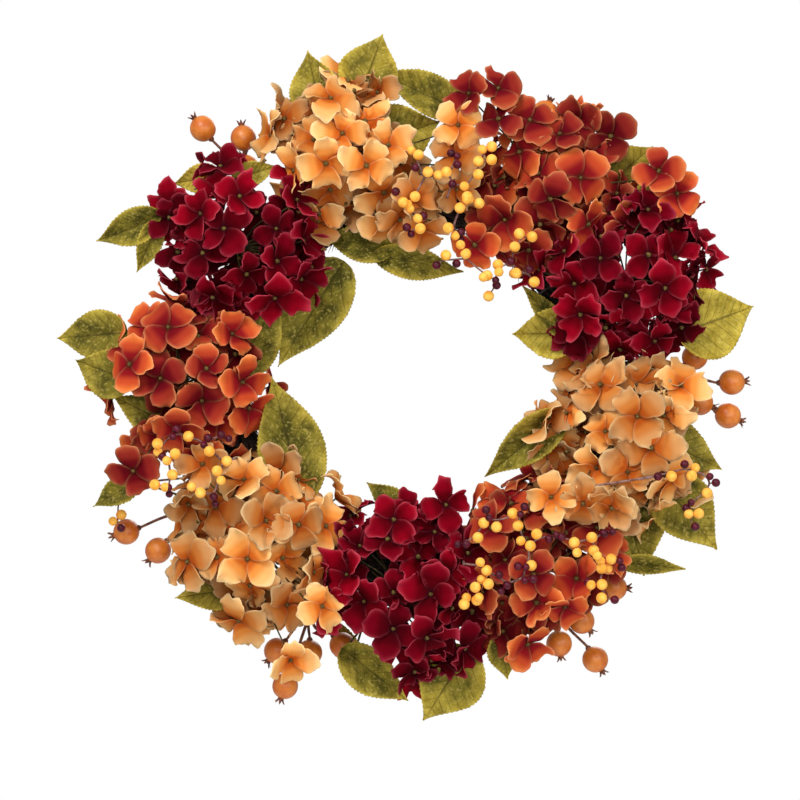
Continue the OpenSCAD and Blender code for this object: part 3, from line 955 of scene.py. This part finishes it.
def add_leaf(shape, root, tip, width):
    yellow = INNER_YELLOW if reach_of(root) < INNER_ROOTS else OUTER_YELLOW
    for clock, radius, share in YELLOW_LEAVES:
        if abs(turn_from(clock, clock_of(tip))) < 7 and abs(reach_of(tip) - radius) < 20:
            yellow = share
    length = norm(tip - root)
    narrow = width / length < NARROW
    fold = rng.uniform(0.5, 0.9) if narrow else rng.uniform(0.08, 0.38)
    # A folded or curled leaf gets back the size that it loses
    grid, along, across, flow = leaf_surface(
        length=length * 1.04,
        width=width * (1.25 if narrow else 1.12),
        bend=rng.uniform(-0.6, 0.35),
        fold=fold,
        twist=rng.uniform(-0.4, 0.4),
        wave=rng.uniform(1.0, 2.6),
        phase=rng.uniform(0, 6.28))
    points, faces, rim = grid_sheet(grid, LEAF_CLOTH)
    x_axis = unit(tip - root)
    z_axis = TOWARDS_VIEWER
    y_axis = np.cross(z_axis, x_axis)
    world = root + points @ np.array([x_axis, y_axis, z_axis])
    yellow = np.clip(yellow + rng.normal(0, 0.04), 0, 1)
    shape.add(world, faces, sheet_marks(along, across, yellow, flow), rim)


def build_leaves(name):
    leaves, stalks = Shape(), Shape()
    foot, hub = stem_ends(name)
    for root, tip, width in blades(name + "_leaves"):
        add_leaf(leaves, root, tip, width)
        if -root[1] < LOW_ROOT:
            start = at(clock_of(root), RING_R + BUNDLE_R - 2, -root[1])
        else:
            start = foot + (hub - foot) * (foot[1] - root[1]) / (foot[1] - hub[1])
        sag = rng.normal(0, 2.0, 3) * np.array([1, 0.3, 1])
        path = smooth_path([start, (start + root) / 2 + sag, root + unit(tip - root) * 3], 7)
        tube(stalks, path, np.linspace(1.3, 0.9, len(path)), sides=7)
    leaves.build(name + "_foliage", LEAF, "wreath", replaces=name + "_leaves")
    stalks.build(name + "_leaf_stalks", STALK, "wreath")


# ---- hips and berries

JOINTS = {joint["child"]: np.array(joint["pos_m"]) / MM - HOME for joint in frame["joints"]}
# The stem of a hip spray forks this far out from its joint
FORK_REACH = 34
# Knot at the fork, collar behind a hip and cup before it: distance along the axis and radius
FORK_KNOT = [(-4, 0), (-3, 1.6), (0, 2.3), (2.5, 2.0), (3.5, 0)]
HIP_COLLAR = [(-2.6, 0), (-2.4, 1.6), (-1.0, 2.6), (0.5, 2.8), (1.4, 0)]
HIP_CUP = [(-1.2, 0), (-0.8, 3.0), (0.8, 2.4), (1.6, 2.2), (0.9, 0)]
# Leaflets of a hip's crown and at a fork: number, radius of their ring, flare and length
CROWN = (6, 2.0, (0.5, 0.9), (3.2, 4.6))
BRACTS = (4, 1.8, (0.5, 1.1), (6.5, 9.5))
# Radii of the stem, and of a hip's stalk at its two ends
SPRAY_STEM_R = 1.7
HIP_STALK_R = (1.5, 1.15)
# How far hips and berries stand behind (or before) the flat plane of their CAD solids
HIP_SWAY = (-5, 8)
BERRY_SWAY = (-1, 9)


def add_sepals(stems, place, away, count, start, flares, lengths):
    """Ring of small pointed leaflets that open round the direction away. start is the ring's radius."""
    a, b = across_to(away)
    for k in range(count):
        angle = k * 2 * math.pi / count + rng.uniform(-0.2, 0.2)
        out = math.cos(angle) * a + math.sin(angle) * b
        side = np.cross(away, out)
        flare = rng.uniform(*flares)
        long = rng.uniform(*lengths)
        rows = []
        for t in np.linspace(0, 1, 5):
            spot = place + away * long * t + out * (start + flare * long * t ** 1.4)
            half = 1.5 * (1 - t) ** 0.7 + 0.12
            rows.append([spot + side * s * half for s in (-1, 0, 1)])
        points, faces, rim = grid_sheet(np.array(rows), 0.5)
        stems.add(points, faces, flat=rim)


def add_hip(fruit, stems, centre, radius, fork):
    """One hip on its bowed stalk from the fork, a little longer than it is wide."""
    away = unit(centre - fork)
    turn = np.linspace(0, math.pi, 15)
    profile = [(-radius * 1.03, 0)]
    profile += [(-math.cos(t) * radius * 1.02, math.sin(t) * radius) for t in turn[1:-1]]
    profile += [(radius * 0.97, 0)]
    lathe(fruit, centre, away, profile, sides=28)
    lathe(stems, centre, away, [(along - radius, r) for along, r in HIP_COLLAR], sides=12)
    lathe(stems, centre, away, [(along + radius, r) for along, r in HIP_CUP], sides=12)
    add_sepals(stems, centre + away * (radius + 0.6), away, *CROWN)
    rear = centre - away * (radius + 1.5)
    bow = unit(np.cross(away, [0, 1, 0])) * rng.uniform(-7, 7)
    path = smooth_path([fork, (fork + rear) / 2 + bow, rear], 8)
    tube(stems, path, np.linspace(*HIP_STALK_R, len(path)), sides=8)


def build_hips(name):
    fruit, stems = Shape(), Shape()
    root = JOINTS[name]
    fork = at(clock_of(root), reach_of(root) + FORK_REACH, -root[1])
    path = smooth_path([root, (root + fork) / 2 + rng.normal(0, 1, 3), fork], 6)
    tube(stems, path, SPRAY_STEM_R, sides=9)
    lathe(stems, fork, unit(fork - root), FORK_KNOT, sides=10)
    add_sepals(stems, fork, unit(fork - root), *BRACTS)
    for centre, size in solids(name + "_hips"):
        back = np.array([0, rng.uniform(*HIP_SWAY), 0])
        add_hip(fruit, stems, centre + back, size.mean() / 2, fork)
    fruit.build(name + "_fruit", HIP, name, replaces=name + "_hips")
    stems.build(name + "_twigs", HIP_STEM, name, replaces=name + "_stems")


# Share of the berries that have a smaller one beside them, its distance by radius, and its size
TWIN_SHARE = 0.6
TWIN_GAP = 1.95
TWIN_SIZE = 0.86
# A wire with a long way to its first berry starts this much lower, among the petals
LONG_WAY = 40
DIP = 14
# Radii of the main wire, of its branches at their two ends, and of a berry's stalk
MAIN_WIRE_R = 1.2
BRANCH_R = (0.6, 1.0)
BERRY_STALK_R = 0.6
# The branches run this far behind the berries
BRANCH_GAP = 2.5


def berry_tree(start, spots):
    """For every berry, the berry or the start (0) that its wire comes from, by the shortest next step."""
    points = [start] + [spot for spot, _ in spots]
    parents = [0] * len(points)
    joined, left = [0], list(range(1, len(points)))
    while left:
        gaps = np.array([[norm(points[j] - points[k]) for j in joined] for k in left])
        k, near = np.unravel_index(gaps.argmin(), gaps.shape)
        parents[left[k]] = joined[near]
        joined.append(left.pop(k))
    return parents


def berry_wires(stems, root, turn, spots):
    """Curved branching wires that run behind the berries, with a short stalk to each berry."""
    tube(stems, smooth_path([root, (root + turn) / 2, turn], 6), MAIN_WIRE_R, sides=8)
    parents = berry_tree(turn, spots)
    behind = np.array([turn] + [spot + np.array([0, radius + BRANCH_GAP, 0]) for spot, radius in spots])
    for _ in range(2):
        softer = behind.copy()
        for k in range(1, len(behind)):
            near = [parents[k]] + [j for j in range(1, len(behind)) if parents[j] == k]
            softer[k] = 0.55 * behind[k] + 0.45 * behind[near].mean(axis=0)
        behind = softer
    drawn = {0}
    ends = [k for k in range(1, len(behind)) if k not in parents]
    for end in ends:
        chain = [end]
        while chain[-1] not in drawn:
            chain.append(parents[chain[-1]])
        drawn.update(chain)
        path = smooth_path(behind[chain], 6)
        tube(stems, path, np.linspace(*BRANCH_R, len(path)), sides=7)
    for k, (spot, radius) in enumerate(spots, start=1):
        halfway = (behind[k] + spot) / 2 + rng.normal(0, 0.8, 3)
        stalk = [behind[k], halfway, spot + np.array([0, radius * 0.6, 0])]
        tube(stems, smooth_path(stalk, 4), BERRY_STALK_R, sides=6)


def add_berry(fruit, spots, centre, radius):
    spots.append((centre, radius))
    turn = np.linspace(0, math.pi, 11)
    profile = [(-math.cos(t) * radius, math.sin(t) * radius) for t in turn]
    profile[0] = (profile[0][0], 0)
    profile[-1] = (profile[-1][0] * 0.97, 0)
    lathe(fruit, centre, unit(rng.normal(0, 1, 3)), profile, sides=18)


def build_berries(name):
    root = JOINTS[name]
    stems = Shape()
    spots = []
    for kind, material in (("yellow", YELLOW_BERRY), ("burgundy", BURGUNDY_BERRY)):
        fruit = Shape()
        for centre, size in solids(f"{name}_{kind}"):
            radius = size.mean() / 2
            centre = centre + np.array([0, rng.uniform(*BERRY_SWAY), 0])
            add_berry(fruit, spots, centre, radius)
            if rng.random() < TWIN_SHARE:
                apart = unit(rng.normal(0, 1, 3) * np.array([1, 0.4, 1]))
                add_berry(fruit, spots, centre + apart * radius * TWIN_GAP, radius * TWIN_SIZE)
        fruit.build(f"{name}_{kind}_beads", material, name, replaces=f"{name}_{kind}")
    way = min(reach_of(spot - root) for spot, _ in spots)
    depth = max(-spots[0][0][1] - 4.0 - (DIP if way > LONG_WAY else 0), -root[1])
    turn = np.array([root[0], -depth, root[2]])
    if abs(depth + root[1]) < 8:
        turn = at(clock_of(root), reach_of(root) + 25, depth)
    berry_wires(stems, root, turn, spots)
    stems.build(name + "_twigs", BERRY_STEM, name, replaces=name + "_stems")


# ---- ring of twigs

TWIG_COUNT = 46
TWIG_STEPS = 140
# The golden angle spreads the twigs evenly over the bundle's section
GOLDEN_ANGLE = 2.399
BRISTLE_COUNT = 2600
# Bristles grow from this far out in the bundle, and end this far before the door
BRISTLE_ROOTS = 21
DOOR_GAP = 1
BRISTLE_RADII = (0.55, 0.4, 0.12)


def build_base():
    """Twisted twigs in the vine bundle's place, with fine bristles."""
    twigs = Shape()
    turns = np.linspace(0, 2 * math.pi, TWIG_STEPS, endpoint=False)
    for k in range(TWIG_COUNT):
        r = BUNDLE_R * 0.9 * math.sqrt((k + 0.5) / TWIG_COUNT)
        place = k * GOLDEN_ANGLE
        sway = rng.integers(2, 7)
        phase = rng.uniform(0, 6.28)
        roll = place + rng.integers(-2, 3) * turns + 0.5 * np.sin(sway * turns + phase)
        radius = np.minimum(r + 2.0 * np.sin(rng.integers(3, 9) * turns + phase), BUNDLE_R - 2.4)
        ring = RING_R + radius * np.cos(roll)
        depth = RING_DEPTH + radius * np.sin(roll)
        path = np.stack([ring * np.sin(turns), -depth, ring * np.cos(turns)], axis=1)
        thick = rng.uniform(2.0, 3.3) * (1 + 0.18 * np.sin(turns * rng.integers(9, 31) + phase))
        tube(twigs, path, thick, sides=6, closed=True)
    bristles = Shape()
    for _ in range(BRISTLE_COUNT):
        clock = rng.uniform(0, 360)
        roll = rng.uniform(0, 2 * math.pi)
        out = at(clock, math.cos(roll), math.sin(roll))
        spot = at(clock, RING_R, RING_DEPTH) + BRISTLE_ROOTS * out
        along = at(clock + 90, 1, 0)
        direction = unit(out * rng.uniform(0.25, 1.0) + along * rng.choice([-1, 1]) * rng.uniform(0.4, 1.3))
        length = rng.uniform(6, 15)
        end = spot + direction * length
        if end[1] > -DOOR_GAP or norm(end - BAR) < TWIG_ROOM:
            continue
        path = [spot, spot + direction * length * 0.5 + rng.normal(0, 0.6, 3), end]
        tube(bristles, path, BRISTLE_RADII, sides=4)
    twigs.build("twig_ring", VINE, "wreath", replaces="base_vines")
    bristles.build("twig_bristles", VINE, "wreath")


# ---- build

for head in HEAD_NAMES:
    build_head(head)
    build_leaves(head)
for joint in frame["joints"]:
    child = joint["child"]
    if child.startswith("hips"):
        build_hips(child)
    if child.startswith("berries"):
        build_berries(child)
build_base()
for node, material in (("base_binding_wires", WIRE), ("stem_tie_wires", WIRE),
                       ("hanger_band", WIRE), ("hanger_ring", METAL)):
    mesh = frame["nodes"][node].data
    mesh.materials.clear()
    mesh.materials.append(material)


# ---- camera, light and floor

# Width and middle of the view, measured at PICTURE_DEPTH before the door, in metres
VIEW_WIDTH = 0.694
VIEW_CENTRE = (-0.0071, -0.016)
CAMERA_DISTANCE = 2.6
PICTURE_DEPTH = 0.085
FLOOR_HEIGHT = -1.2
FLOOR_HALF = 1.5


def from_ring(x, y, z):
    """A place in metres, measured from the centre of the vine ring."""
    return Vector((x, y, z)) + Vector(HOME * MM)


camera = new_object("camera", bpy.data.cameras.new("camera"))
camera.location = from_ring(VIEW_CENTRE[0], -CAMERA_DISTANCE, VIEW_CENTRE[1])
camera.rotation_euler = (math.pi / 2, 0, 0)
camera.data.angle = 2 * math.atan(VIEW_WIDTH / 2 / (CAMERA_DISTANCE - PICTURE_DEPTH))
camera.data.clip_start = 0.1
bpy.context.scene.camera = camera


def area_light(name, place, size, power):
    """Round soft light aimed at the middle of the wreath."""
    light = bpy.data.lights.new(name, "AREA")
    light.shape = "DISK"
    light.size = size
    light.energy = power
    lamp = new_object(name, light)
    lamp.location = from_ring(*place)
    lamp.rotation_euler = Vector(place).to_track_quat("Z", "Y").to_euler()


area_light("key", (-0.9, -1.9, 1.7), 1.2, 46)
area_light("fill", (1.5, -1.9, 0.5), 1.4, 18)
area_light("front", (0, -2.9, 0.3), 1.4, 24)
area_light("back", (0.7, 2.2, 1.3), 1.6, 26)

world = bpy.data.worlds.new("studio")
bpy.context.scene.world = world
world.use_nodes = True
# The light is softer than the white that the camera sees
nodes, links = world.node_tree.nodes, world.node_tree.links
shade = nodes["Background"]
set_inputs(shade, {"Color": (1, 1, 1, 1), "Strength": 0.45})
white = nodes.new("ShaderNodeBackground")
set_inputs(white, {"Color": (1, 1, 1, 1), "Strength": 1.0})
path_node = nodes.new("ShaderNodeLightPath")
blend = nodes.new("ShaderNodeMixShader")
links.new(path_node.outputs["Is Camera Ray"], blend.inputs["Fac"])
links.new(shade.outputs["Background"], blend.inputs[1])
links.new(white.outputs["Background"], blend.inputs[2])
links.new(blend.outputs["Shader"], nodes["World Output"].inputs["Surface"])
bpy.context.scene.view_settings.view_transform = "Standard"

floor_mesh = bpy.data.meshes.new("floor")
floor_corners = [
    from_ring(x * FLOOR_HALF, y * FLOOR_HALF, FLOOR_HEIGHT) for x, y in ((-1, -1), (1, -1), (1, 1), (-1, 1))]
floor_mesh.from_pydata(floor_corners, [], [(0, 1, 2, 3)])
floor = new_object("floor", floor_mesh)
pale, _, pale_surface = new_material("floor_pale", roughness=0.9)
set_inputs(pale_surface, {"Base Color": (0.9, 0.9, 0.9, 1)})
floor_mesh.materials.append(pale)
